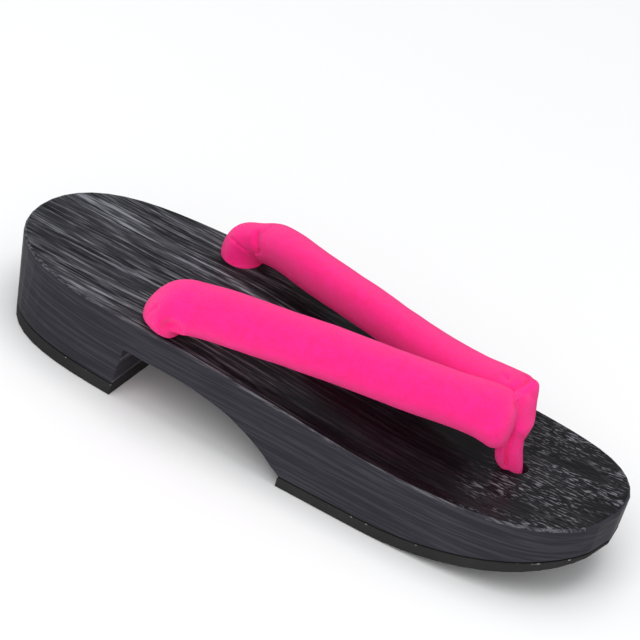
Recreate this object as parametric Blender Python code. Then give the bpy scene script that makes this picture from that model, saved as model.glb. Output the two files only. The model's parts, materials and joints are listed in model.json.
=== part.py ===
"""A geta sandal: a base cut from one block of wood, two rubber treads and a padded cloth strap.

Metres, +Z up. The toe points along +X. The origin is on the floor, under the middle of the base.
"""

from collections import namedtuple
import math

import bmesh
import bpy
from mathutils import Vector

MM = 0.001

# Fit between pieces that touch
JOINT = 0.3 * MM

# Plan of the wooden base
LENGTH = 240 * MM
WIDTH = 84.2 * MM
END_REACH = 0.75  # share of the length in which an end grows to full width
END_BLUNTNESS = 8  # higher is a blunter end
CORNER_FULLNESS = 2.1  # 2 is a round corner

# Lean of the walls, from the top face down to the floor
HEEL_RAKE = 6.2 * MM
HEEL_RAKE_REACH = 60 * MM  # the lean of the back wall fades out this far from the heel
SIDE_RAKE = 1.4 * MM
TOE_RAKE = 1.0 * MM
TOE_RAKE_REACH = 30 * MM

# Softened edges
TOP_EDGE = 0.9 * MM
LOWER_EDGE = 0.5 * MM
TREAD_EDGE = 0.4 * MM

# Side view of the base
HEEL_HEIGHT = 32 * MM  # floor to top face, at the heel
HEEL_LENGTH = 62 * MM  # heel tip to the bottom corner of the heel block's front face
HEEL_FRONT_LEAN = 1 * MM
ARCH_HEIGHT = 20 * MM  # floor to the flat roof of the arch
ARCH_FLAT = 23 * MM  # heel block to where the roof turns down in an arc to the front block
FRONT_LENGTH = 108.7 * MM  # rear edge of the front tread to the tip of the toe
SPRING_LENGTH = 73 * MM  # where the front tread lifts off the floor to the tip of the toe
TOE_SPRING = 17 * MM  # lift of the tread at the tip of the toe
SPRING_POWER = 1.75

# Rubber treads
HEEL_TREAD = 4.6 * MM
FRONT_TREAD = 4.2 * MM

# Holes and the recesses for the knots
FRONT_HOLE_FROM_TOE = 40.5 * MM
FRONT_HOLE_RADIUS = 4.4 * MM
FRONT_RECESS_RADIUS = 10 * MM
FRONT_RECESS_ROOF = 10 * MM  # wood left between the recess and the top face
REAR_HOLE_FROM_HEEL = 69.5 * MM
REAR_HOLE_Y = 30 * MM
REAR_HOLE_RADIUS = 4.2 * MM
HOLE_PLAY = 0.6 * MM  # between a hole and the cloth in it

# Cloth strap
STRAP_WIDTH = 19.8 * MM
STRAP_THICKNESS = 15.6 * MM
STRAP_LEAN = math.radians(39)  # the broad face turns outwards
STRAP_RISE = 19.3 * MM  # top face to the middle of the strap, at the front
FOLD_AHEAD = 10 * MM  # from the rear hole to the place where the strap folds down to it
FOLD_ASIDE = 2.2 * MM
NOSE_BEHIND = 4.5 * MM  # from the front hole to where the arms' middle lines end
NOSE_Y = 4.2 * MM
NOSE_ROUND = 7 * MM
FOLD_OUTWARD = 3.4 * MM  # bulge of the fold over the edge of the base
REAR_KNOT_RADIUS = 6 * MM
REAR_KNOT_HEIGHT = 4.4 * MM

# Front loop
BAND_WIDTH = 14 * MM
BAND_THICKNESS = 3 * MM
BAND_BEHIND = 5.5 * MM  # from the nose back to the point of the band's rear edge, on top
BAND_POINT = 2 * MM  # how far that point reaches behind the band's corners
BAND_UNDER = 4 * MM  # from the nose back to the rear edge below the straps
LOOP_LEAN = 5.3 * MM  # the strands lean back this far, from the hole up to the band
STRAND_RADIUS = 3.2 * MM
STRAND_APART = 5.8 * MM  # between the middles of the two strands
STRAND_DEPTH = 2 * MM  # below the top face the strands become one tail
FRONT_KNOT_RADIUS = 8.4 * MM
FRONT_KNOT_HEIGHT = 7.5 * MM

# Places along and across the base, from the sizes above
HEEL_FRONT_X = HEEL_LENGTH - LENGTH / 2
ARCH_TURN_X = HEEL_FRONT_X + ARCH_FLAT
FOREFOOT_X = LENGTH / 2 - FRONT_LENGTH
SPRING_X = LENGTH / 2 - SPRING_LENGTH
FRONT_HOLE_X = LENGTH / 2 - FRONT_HOLE_FROM_TOE
REAR_HOLE_X = REAR_HOLE_FROM_HEEL - LENGTH / 2
STRAP_START_X = REAR_HOLE_X + FOLD_AHEAD
STRAP_START_Y = REAR_HOLE_Y + FOLD_ASIDE
NOSE_X = FRONT_HOLE_X - NOSE_BEHIND
BAND_REAR_X = NOSE_X - BAND_BEHIND
BAND_UNDER_X = NOSE_X - BAND_UNDER

# How finely round forms are cut
END_STEPS = 12
LONG_STEP = 8 * MM
STRAP_SIDES = 20
STRAP_STEPS = 12
FRONT_STEPS = 4  # of those, the ones that the front loop reaches
FOLD_STEPS = 8
NOSE_STEPS = 5
STRAND_STEPS = 7
HOLE_SIDES = 24

# Height of the top face, from heel to toe
TopRow = namedtuple("TopRow", "along height")  # shares of LENGTH and HEEL_HEIGHT
TOP_FACE = [
    TopRow(0.00, 0.997),
    TopRow(0.17, 0.997),
    TopRow(0.34, 1.008),
    TopRow(0.50, 0.938),
    TopRow(0.66, 0.853),
    TopRow(0.83, 0.866),
    TopRow(1.00, 0.972),
]

# Thickness of the front tread, from its rear edge to the toe
TreadRow = namedtuple("TreadRow", "along thickness")  # shares of its length and FRONT_TREAD
TREAD = [
    TreadRow(0.00, 0.92),
    TreadRow(0.35, 1.02),
    TreadRow(0.75, 1.00),
    TreadRow(0.92, 0.76),
    TreadRow(1.00, 0.36),
]

# Strap from the top of its fold to its nose
StrapRow = namedtuple("StrapRow", "along rise breadth thickness lean")  # shares of the strap's sizes
STRAP = [
    StrapRow(0.00, 0.56, 1.03, 1.00, 0.90),
    StrapRow(0.18, 0.66, 1.00, 1.00, 1.00),
    StrapRow(0.35, 0.77, 1.00, 1.00, 1.00),
    StrapRow(0.52, 0.87, 1.00, 1.00, 1.00),
    StrapRow(0.70, 0.95, 1.00, 1.00, 1.00),
    StrapRow(0.86, 1.00, 1.00, 1.03, 0.85),
    StrapRow(1.00, 0.95, 0.86, 1.17, 0.35),
]

# Fold at the strap's rear end, from its seat on the wood to the start of the strap
FoldRow = namedtuple("FoldRow", "along outward breadth thickness lean")
FOLD = [
    FoldRow(0.0, 0.10, 0.76, 0.84, 0.00),
    FoldRow(0.1, 0.45, 0.94, 0.90, 0.05),
    FoldRow(0.3, 0.90, 1.10, 0.94, 0.20),
    FoldRow(0.6, 0.95, 1.14, 0.98, 0.60),
    FoldRow(1.0, 0.05, 1.04, 1.00, 0.90),
]

# A knot, as a turned form
KnotRow = namedtuple("KnotRow", "depth radius")  # shares of its height and radius
KNOT = [
    KnotRow(1.00, 0.55),
    KnotRow(0.85, 0.86),
    KnotRow(0.50, 1.00),
    KnotRow(0.15, 0.90),
    KnotRow(0.00, 0.70),
]

# A strand of the front loop, from the hole up to the band
StrandRow = namedtuple("StrandRow", "along back apart radius")  # shares of the strand's sizes
STRAND = [
    StrandRow(0.00, 0.00, 0.36, 0.60),
    StrandRow(0.22, 0.06, 0.42, 0.68),
    StrandRow(0.45, 0.55, 0.85, 0.98),
    StrandRow(0.75, 0.88, 0.95, 1.02),
    StrandRow(1.00, 1.00, 0.80, 0.96),
]

Section = namedtuple("Section", "centre direction across breadth thickness lean")
Material = namedtuple("Material", "colour roughness metallic")
LACQUERED_WOOD = Material((0.012, 0.012, 0.014, 1), 0.35, 0)
RUBBER = Material((0.030, 0.028, 0.026, 1), 0.85, 0)
PINK_CLOTH = Material((0.90, 0.02, 0.22, 1), 0.80, 0)


def smooth(rows, column, along):
    """Read a column of a table on a smooth curve through its rows."""
    last = len(rows) - 1
    along = min(max(along, rows[0].along), rows[last].along)
    i = max(k for k in range(last) if rows[k].along <= along)

    def slope(k):
        before, after = rows[max(k - 1, 0)], rows[min(k + 1, last)]
        return (getattr(after, column) - getattr(before, column)) / (after.along - before.along)

    step = rows[i + 1].along - rows[i].along
    t = (along - rows[i].along) / step
    start = getattr(rows[i], column)
    stop = getattr(rows[i + 1], column)
    return (
        start * (1 + 2 * t) * (1 - t) ** 2
        + stop * t * t * (3 - 2 * t)
        + slope(i) * step * t * (1 - t) ** 2
        - slope(i + 1) * step * t * t * (1 - t)
    )


def top_face(x):
    """Height of the wood's top face."""
    return HEEL_HEIGHT * smooth(TOP_FACE, "height", x / LENGTH + 0.5)


def front_under(x):
    """Height of the front tread's underside: flat, then rising to the toe."""
    lift = max(x - SPRING_X, 0) / (LENGTH / 2 - SPRING_X)
    return TOE_SPRING * lift**SPRING_POWER


def front_joint(x):
    """Height of the front tread's upper face, where it is glued to the wood."""
    along = (x - FOREFOOT_X) / (LENGTH / 2 - FOREFOOT_X)
    return front_under(x) + FRONT_TREAD * smooth(TREAD, "thickness", along)


def wood_under(x):
    """Height of the wood's underside: heel block, arch and front block."""
    heel_under = HEEL_TREAD + JOINT
    if x <= HEEL_FRONT_X:
        return heel_under
    if x < HEEL_FRONT_X + HEEL_FRONT_LEAN:
        return heel_under + (ARCH_HEIGHT - heel_under) * (x - HEEL_FRONT_X) / HEEL_FRONT_LEAN
    if x <= ARCH_TURN_X:
        return ARCH_HEIGHT
    if x < FOREFOOT_X:
        run = FOREFOOT_X - ARCH_TURN_X
        drop = ARCH_HEIGHT - front_joint(FOREFOOT_X) - JOINT
        radius = (run * run + drop * drop) / (2 * drop)
        return ARCH_HEIGHT - radius + math.sqrt(radius**2 - (x - ARCH_TURN_X) ** 2)
    return front_joint(x) + JOINT


def half_width(x):
    """Half the width of the top face: full in the middle, blunt and round at both ends."""

    def end(distance):
        left = 1 - distance / (END_REACH * LENGTH)
        return max(1 - left**END_BLUNTNESS, 0) ** (1 / CORNER_FULLNESS)

    return WIDTH / 2 * min(end(LENGTH / 2 + x), end(LENGTH / 2 - x))


def outline(x, z, inset):
    """Point of the wall at a station and height, on the +Y side, moved in by an inset."""
    tiny = 0.02 * MM
    before = max(x - tiny, -LENGTH / 2)
    after = min(x + tiny, LENGTH / 2)
    outward = Vector((half_width(before) - half_width(after), after - before)).normalized()
    depth = (top_face(x) - z) / HEEL_HEIGHT
    heel = max(1 - (LENGTH / 2 + x) / HEEL_RAKE_REACH, 0) ** 2
    toe = max(1 - (LENGTH / 2 - x) / TOE_RAKE_REACH, 0) ** 2
    raked_x = x + depth * (HEEL_RAKE * heel - TOE_RAKE * toe)
    raked_y = half_width(x) * (1 - depth * SIDE_RAKE / (WIDTH / 2))
    return Vector((raked_x - inset * outward.x, max(raked_y - inset * outward.y, 0), z))


def stations(start, stop, corners=()):
    """Places along the base between two ends, closer together where the outline rounds."""
    places = set(corners) | {start, stop}
    reach = LENGTH / 4
    for k in range(END_STEPS):
        from_tip = reach * (1 - math.cos(math.pi / 2 * k / END_STEPS))
        places |= {-LENGTH / 2 + from_tip, LENGTH / 2 - from_tip}
    count = round((LENGTH - 2 * reach) / LONG_STEP)
    places |= {-LENGTH / 2 + reach + (LENGTH - 2 * reach) * k / count for k in range(count + 1)}
    ordered = sorted(place for place in places if start <= place <= stop)
    kept = [ordered[0]]
    for place in ordered[1:]:
        fixed = place in corners or place == stop
        if fixed and place - kept[-1] < MM and kept[-1] not in corners and len(kept) > 1:
            kept.pop()
        if fixed or place - kept[-1] > MM / 2:
            kept.append(place)
    return kept


def slab(name, places, top, under, top_edge, under_edge):
    """Close a body between two heights, inside the raked outline of the base."""
    rings = []
    for x in places:
        upper, lower = top(x), under(x)
        side = [
            outline(x, upper, top_edge),
            outline(x, upper - 0.3 * top_edge, 0.3 * top_edge),
            outline(x, upper - top_edge, 0),
            outline(x, lower + under_edge, 0),
            outline(x, lower, under_edge),
        ]
        rings.append(side + [Vector((p.x, -p.y, p.z)) for p in reversed(side)])
    return loft(name, rings)


def loft(name, rings):
    """Close a body through rings of points, with a flat face at each end."""
    shape = bmesh.new()
    loops = [[shape.verts.new(point) for point in ring] for ring in rings]
    count = len(rings[0])
    for near, far in zip(loops, loops[1:]):
        for k in range(count):
            shape.faces.new((near[k], near[(k + 1) % count], far[(k + 1) % count], far[k]))
    shape.faces.new(loops[0])
    shape.faces.new(reversed(loops[-1]))
    bmesh.ops.remove_doubles(shape, verts=shape.verts, dist=MM / 1000)
    bmesh.ops.dissolve_degenerate(shape, edges=shape.edges, dist=MM / 1000)
    bmesh.ops.recalc_face_normals(shape, faces=shape.faces)
    mesh = bpy.data.meshes.new(name)
    shape.to_mesh(mesh)
    shape.free()
    body = bpy.data.objects.new(name, mesh)
    bpy.context.scene.collection.objects.link(body)
    return body


def section_ring(section):
    """Points of an oval section, its broad axis leaning down on the outer side."""
    direction = section.direction.normalized()
    across = (section.across - section.across.dot(direction) * direction).normalized()
    up = direction.cross(across)
    broad = across * math.cos(section.lean) - up * math.sin(section.lean)
    thin = across * math.sin(section.lean) + up * math.cos(section.lean)
    points = []
    for k in range(STRAP_SIDES):
        turn = 2 * math.pi * (k + 0.5) / STRAP_SIDES
        reach = broad * section.breadth * math.cos(turn) + thin * section.thickness * math.sin(turn)
        points.append(section.centre + reach / 2)
    return points


def turned(x, y, z, radius):
    """A level round section, for knots and for the cloth in a hole."""
    return Section(Vector((x, y, z)), Vector((0, 0, 1)), Vector((0, 1, 0)), 2 * radius, 2 * radius, 0)


def knot(x, y, top, radius, height):
    """Sections of a knot from its foot up, just under the face that it bears on."""
    return [turned(x, y, top - height * row.depth, radius * row.radius) for row in KNOT]


def mirrored(ring):
    """The same ring on the other side of the sandal."""
    return [Vector((point.x, -point.y, point.z)) for point in ring]


def strap_run(grow, steps_from=0):
    """Sections of the strap on the +Y side, from the top of its fold to its nose."""
    start = Vector((STRAP_START_X, STRAP_START_Y, 0))
    nose = Vector((NOSE_X, NOSE_Y, 0))
    run = nose - start
    straight = run.length - NOSE_ROUND
    places = [(straight * k / STRAP_STEPS, 1) for k in range(steps_from, STRAP_STEPS + 1)]
    for k in range(1, NOSE_STEPS + 1):
        turn = math.radians(82) * k / NOSE_STEPS
        places.append((straight + (NOSE_ROUND + grow) * math.sin(turn), math.cos(turn)))
    across = Vector((-run.y, run.x, 0)).normalized()
    centres = []
    for distance, _ in places:
        point = start + run.normalized() * distance
        point.z = top_face(point.x) + STRAP_RISE * smooth(STRAP, "rise", distance / run.length)
        centres.append(point)
    sections = []
    for k, (distance, share) in enumerate(places):
        along = distance / run.length
        direction = centres[min(k + 1, len(centres) - 1)] - centres[max(k - 1, 0)]
        breadth = (STRAP_WIDTH * smooth(STRAP, "breadth", along) + 2 * grow) * share
        thickness = (STRAP_THICKNESS * smooth(STRAP, "thickness", along) + 2 * grow) * share
        lean = STRAP_LEAN * smooth(STRAP, "lean", along)
        sections.append(Section(centres[k], direction, across, breadth, thickness, lean))
    return sections


def strap_rear():
    """Sections from the rear knot up through the hole and over the fold, on the +Y side."""
    seat = top_face(REAR_HOLE_X) + JOINT
    tail = REAR_HOLE_RADIUS - HOLE_PLAY
    bearing = ARCH_HEIGHT - JOINT
    sections = knot(REAR_HOLE_X, REAR_HOLE_Y, bearing, REAR_KNOT_RADIUS, REAR_KNOT_HEIGHT)
    sections += [turned(REAR_HOLE_X, REAR_HOLE_Y, z, tail) for z in (bearing, seat)]
    hole = Vector((REAR_HOLE_X, REAR_HOLE_Y, seat))
    first = strap_run(0)[0]
    reach = first.centre - hole
    for k in range(FOLD_STEPS):
        along = k / FOLD_STEPS
        turn = math.pi / 2 * along
        centre = hole + Vector((reach.x, reach.y, 0)) * (1 - math.cos(turn))
        centre.z += reach.z * math.sin(turn)
        centre += first.across * FOLD_OUTWARD * smooth(FOLD, "outward", along)
        direction = Vector((reach.x, reach.y, 0)) * math.sin(turn)
        direction.z = reach.z * math.cos(turn)
        breadth = STRAP_WIDTH * smooth(FOLD, "breadth", along)
        thickness = STRAP_THICKNESS * smooth(FOLD, "thickness", along)
        lean = STRAP_LEAN * smooth(FOLD, "lean", along)
        sections.append(Section(centre, direction, first.across, breadth, thickness, lean))
    return sections


def combine(body, tool, operation):
    """Add, cut or keep by another solid, which stays behind as a hidden wire."""
    tool.hide_render = True
    tool.display_type = "WIRE"
    change = body.modifiers.new(operation.title() + " " + tool.name, "BOOLEAN")
    change.operation = operation
    change.object = tool
    change.solver = "EXACT"


def drill(name, x, y, low, high, radius):
    """A round cutter between two heights."""
    rings = []
    for z in (low, high):
        turns = [2 * math.pi * k / HOLE_SIDES for k in range(HOLE_SIDES)]
        rings.append([Vector((x + radius * math.cos(t), y + radius * math.sin(t), z)) for t in turns])
    return loft(name, rings)


def paint(body, material):
    """Give a piece its own material, and shade it smooth between sharp edges."""
    coat = bpy.data.materials.new(body.name)
    coat.use_nodes = True
    shader = coat.node_tree.nodes["Principled BSDF"]
    shader.inputs["Base Color"].default_value = material.colour
    shader.inputs["Roughness"].default_value = material.roughness
    shader.inputs["Metallic"].default_value = material.metallic
    body.data.materials.append(coat)
    body.data.shade_smooth()
    body.data.set_sharp_from_angle(angle=math.radians(35))


def front_recess(name):
    """Cutter for the front knot's recess, open at the floor."""
    roof = top_face(FRONT_HOLE_X) - FRONT_RECESS_ROOF
    return drill(name, FRONT_HOLE_X, 0, -MM, roof, FRONT_RECESS_RADIUS)


def wood_base():
    """The base, with a hole for each end of the strap."""
    corners = (HEEL_FRONT_X, HEEL_FRONT_X + HEEL_FRONT_LEAN, ARCH_TURN_X, FOREFOOT_X)
    places = stations(-LENGTH / 2, LENGTH / 2, corners)
    base = slab("wood_base", places, top_face, wood_under, TOP_EDGE, LOWER_EDGE)
    above = 2 * HEEL_HEIGHT
    hole = drill("front_hole", FRONT_HOLE_X, 0, -MM, above, FRONT_HOLE_RADIUS)
    combine(base, hole, "DIFFERENCE")
    combine(base, front_recess("recess_in_wood"), "DIFFERENCE")
    for name, y in (("rear_hole_left", REAR_HOLE_Y), ("rear_hole_right", -REAR_HOLE_Y)):
        combine(base, drill(name, REAR_HOLE_X, y, -MM, above, REAR_HOLE_RADIUS), "DIFFERENCE")
    paint(base, LACQUERED_WOOD)


def heel_tread():
    """The rubber under the heel block."""
    places = stations(-LENGTH / 2, HEEL_FRONT_X)
    tread = slab("heel_tread", places, lambda x: HEEL_TREAD, lambda x: 0, TREAD_EDGE, TREAD_EDGE)
    paint(tread, RUBBER)


def front_tread():
    """The rubber under the front block, open at the knot's recess."""
    places = stations(FOREFOOT_X, LENGTH / 2)
    tread = slab("front_tread", places, front_joint, front_under, TREAD_EDGE, TREAD_EDGE)
    combine(tread, front_recess("recess_in_tread"), "DIFFERENCE")
    paint(tread, RUBBER)


def cloth_strap():
    """Both arms of the strap, joined at the front, each with its tail and knot."""
    rings = [section_ring(section) for section in strap_rear() + strap_run(0)]
    strap = loft("cloth_strap", rings)
    combine(strap, loft("other_arm", [mirrored(ring) for ring in rings]), "UNION")
    paint(strap, PINK_CLOTH)


def front_rings(grow):
    """Rings of the front of one arm, made larger all round."""
    return [section_ring(section) for section in strap_run(grow, STRAP_STEPS - FRONT_STEPS)]


def strap_front(name, grow):
    """The front of both arms as one form, made larger all round."""
    front = loft(name, front_rings(grow))
    other = [mirrored(ring) for ring in front_rings(grow)]
    combine(front, loft(name + "_other_arm", other), "UNION")
    return front


def strand(name, side):
    """One strand of the front loop, from inside the hole up into the band."""
    low = top_face(FRONT_HOLE_X) - STRAND_DEPTH
    strap_low = min(point.z for ring in front_rings(JOINT) for point in ring if point.x > BAND_UNDER_X)
    high = strap_low - BAND_THICKNESS / 2
    rings = []
    for k in range(STRAND_STEPS + 1):
        along = k / STRAND_STEPS
        x = FRONT_HOLE_X - LOOP_LEAN * smooth(STRAND, "back", along)
        x += side * STRAND_APART / 2 * smooth(STRAND, "apart", along)
        radius = STRAND_RADIUS * smooth(STRAND, "radius", along)
        rings.append(section_ring(turned(x, 0, low + (high - low) * along, radius)))
    return loft(name, rings)


def front_loop():
    """The band over the join of the straps, its two strands, and their knot in the recess."""
    half = BAND_WIDTH / 2
    corner = BAND_REAR_X + BAND_POINT
    ahead = NOSE_X + NOSE_ROUND
    middle = top_face(NOSE_X) + STRAP_RISE
    band = strap_front("front_loop", JOINT + BAND_THICKNESS)
    combine(band, strap_front("strap_with_fit", JOINT), "DIFFERENCE")
    above = [(BAND_REAR_X, 0), (corner, -half), (ahead, -half), (ahead, half), (corner, half)]
    below = [(BAND_UNDER_X, 0), (BAND_UNDER_X, -half), (ahead, -half), (ahead, half), (BAND_UNDER_X, half)]
    levels = ((below, 0), (below, middle - MM), (above, middle + MM), (above, 2 * middle))
    keep = [[Vector((x, y, z)) for x, y in outline_points] for outline_points, z in levels]
    combine(band, loft("band_limits", keep), "INTERSECT")
    for name, side in (("rear_strand", -1), ("front_strand", 1)):
        combine(band, strand(name, side), "UNION")
    bearing = top_face(FRONT_HOLE_X) - FRONT_RECESS_ROOF - JOINT
    tail = FRONT_HOLE_RADIUS - HOLE_PLAY
    sections = knot(FRONT_HOLE_X, 0, bearing, FRONT_KNOT_RADIUS, FRONT_KNOT_HEIGHT)
    high = top_face(FRONT_HOLE_X) - STRAND_DEPTH / 2
    sections += [turned(FRONT_HOLE_X, 0, z, tail) for z in (bearing, high)]
    combine(band, loft("loop_tail", [section_ring(section) for section in sections]), "UNION")
    paint(band, PINK_CLOTH)


for old in list(bpy.data.objects):
    bpy.data.objects.remove(old)
wood_base()
heel_tread()
front_tread()
cloth_strap()
front_loop()
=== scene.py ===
"""Dresses the geta sandal: lacquered wood, rubber treads, a padded cloth strap and its front loop."""

from collections import namedtuple
import json
import math

import bpy
from bpy.props import FloatProperty, FloatVectorProperty, IntProperty, PointerProperty
from mathutils import Euler, Matrix, Vector, noise
from mathutils.bvhtree import BVHTree
from mathutils.kdtree import KDTree

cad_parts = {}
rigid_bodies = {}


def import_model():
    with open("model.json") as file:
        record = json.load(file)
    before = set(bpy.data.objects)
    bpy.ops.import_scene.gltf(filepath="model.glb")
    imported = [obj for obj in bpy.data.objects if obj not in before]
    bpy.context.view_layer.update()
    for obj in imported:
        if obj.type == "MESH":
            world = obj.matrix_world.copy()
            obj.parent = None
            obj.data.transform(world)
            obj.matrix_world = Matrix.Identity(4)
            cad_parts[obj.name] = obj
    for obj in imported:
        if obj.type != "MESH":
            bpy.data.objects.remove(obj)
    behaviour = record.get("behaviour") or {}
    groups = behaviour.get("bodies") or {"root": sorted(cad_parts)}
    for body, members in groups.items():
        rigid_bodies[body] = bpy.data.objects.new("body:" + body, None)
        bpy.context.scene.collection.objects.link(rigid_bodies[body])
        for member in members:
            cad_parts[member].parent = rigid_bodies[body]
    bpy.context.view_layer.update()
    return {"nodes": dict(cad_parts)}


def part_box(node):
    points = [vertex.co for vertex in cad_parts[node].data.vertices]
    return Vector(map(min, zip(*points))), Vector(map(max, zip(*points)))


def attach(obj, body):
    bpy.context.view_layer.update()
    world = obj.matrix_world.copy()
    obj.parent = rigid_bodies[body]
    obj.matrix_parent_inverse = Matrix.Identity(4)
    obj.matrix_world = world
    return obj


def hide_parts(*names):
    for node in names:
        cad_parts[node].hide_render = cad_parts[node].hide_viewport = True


bl_info = {
    "name": "Geta sandal",
    "version": (1, 0, 0),
    "blender": (4, 5, 0),
    "location": "View3D > Sidebar > Geta",
    "description": "Dresses the packed geta sandal and sets its stage",
    "category": "Object",
}

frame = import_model()
NODES = frame["nodes"]

MM = 0.001

# Places along the wood, from the heel to the toe
BREAST = -50 * MM
ARCH = (-56 * MM, 9 * MM)
# Painted sheen: the heel's top is painted lighter from here back to the heel's end
HEEL_SHEEN = (-20 * MM, -70 * MM)
# The light streaks and their painted sheen fade out over this span, towards the middle
FADING_GRAIN_AND_SHEEN = (-50 * MM, 22 * MM)
POLISHED_MIDDLE = (-45 * MM, 5 * MM)
BRUSHED_TOE = (62 * MM, 84 * MM)

# Heights, and upward shares of a face's normal, that tell the faces of the wood and the rubber apart
TREAD_TOP = 6 * MM
EDGE_LOW = 0.9 * MM
LEVEL = 0.965
UPRIGHT = 0.15

# Depth below the top face over which the unevenness of hand work grows to its full size
HAND_FADE = 6 * MM

# The holes of the strap: a rear one on each side, and the front one on the middle line
REAR_HOLE = (-50.5 * MM, 30 * MM)
REAR_KNOT_TOP = 19.7 * MM
REAR_TAIL = 3.6 * MM
FRONT_HOLE = 79.5 * MM
FRONT_KNOT_DEPTH = 10.3 * MM
FRONT_TAIL = 3.8 * MM

# Spacing of the lines that the rubber is divided by
TREAD_CUT = 4 * MM

# What differs between the two arms: side, then places of start and nose and backward shift of the
# fold in millimetres, then the shape of the end, where 1 is round and less is fuller, and then the
# columns that each reads in the tables below
ArmPlan = namedtuple("ArmPlan", "side start nose back end breadth lean lay")
NEAR = ArmPlan(-1, -40.5, 76.0, 0.1, 0.70, "near_breadth", "near_lean", "near")
FAR = ArmPlan(1, -43.5, 74.5, 3.0, 0.65, "far_breadth", "far_lean", "far")

# Distance of an arm from the middle line at its start and at its nose, and length of its rounded end
START_ASIDE = 32.2 * MM
NOSE_ASIDE = 4.6 * MM
ROUND_END = 7 * MM

# How high the seat of the fold is above the wood
SEAT = 0.3 * MM

# How far the fold stands outward of the strap, in millimetres
FOLD_OUT = 3.4

# Middle line and section of the strap, from the top of its fold to its nose
StrapRow = namedtuple("StrapRow", "along rise near_breadth far_breadth thickness near_lean far_lean")
STRAP = [
    StrapRow(0.00, 0.56, 1.03, 1.00, 1.00, 0.90, 0.90),
    StrapRow(0.09, 0.61, 1.01, 1.10, 1.00, 0.95, 0.95),
    StrapRow(0.18, 0.66, 1.00, 1.14, 1.00, 1.00, 1.00),
    StrapRow(0.35, 0.77, 1.00, 1.10, 1.00, 1.00, 1.00),
    StrapRow(0.52, 0.87, 1.00, 1.02, 1.00, 1.00, 0.95),
    StrapRow(0.70, 0.95, 1.00, 1.00, 1.00, 1.00, 0.75),
    StrapRow(0.86, 1.00, 1.01, 1.00, 1.03, 0.95, 0.35),
    StrapRow(1.00, 0.97, 1.16, 0.97, 1.16, 0.80, -0.20),
]

# Fold at the strap's rear end, from its seat on the wood to the start of the strap
FoldRow = namedtuple("FoldRow", "along outward back breadth thickness lean")
FOLD = [
    FoldRow(0.0, 0.10, 0.30, 0.80, 0.86, 0.00),
    FoldRow(0.1, 0.45, 0.60, 0.96, 0.92, 0.05),
    FoldRow(0.3, 0.90, 1.00, 1.10, 0.96, 0.20),
    FoldRow(0.6, 0.95, 0.90, 1.14, 1.00, 0.60),
    FoldRow(1.0, 0.05, 0.05, 1.04, 1.00, 0.90),
]

# A knot, as shares of its height and radius
KnotRow = namedtuple("KnotRow", "depth radius")
KNOT = [
    KnotRow(1.00, 0.05),
    KnotRow(0.99, 0.55),
    KnotRow(0.85, 0.86),
    KnotRow(0.50, 1.00),
    KnotRow(0.15, 0.90),
    KnotRow(0.00, 0.70),
]

# Height above the wood over which the strap's lay below grows to its full size
LAY_RISE = 4 * MM

# How the real strap lies off its plan: aside, and up or down on its near and far arm, in millimetres
LayRow = namedtuple("LayRow", "along aside near far")
LAY = [
    LayRow(-60, 0.0, 0.0, -2.4),
    LayRow(-50, -0.1, -0.1, -3.4),
    LayRow(-41, -0.2, 0.2, -0.1),
    LayRow(-32, -0.6, 1.1, 0.6),
    LayRow(-22, -1.0, 1.4, 0.3),
    LayRow(-8, -1.2, 1.5, 0.2),
    LayRow(10, -1.4, 1.7, 0.0),
    LayRow(30, -1.6, 1.8, 0.2),
    LayRow(51, -1.85, 1.5, 1.5),
    LayRow(66, -1.9, 1.4, 3.6),
    LayRow(72, -1.9, 0.3, 4.3),
    LayRow(80, -1.9, -1.8, 5.0),
]

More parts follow.
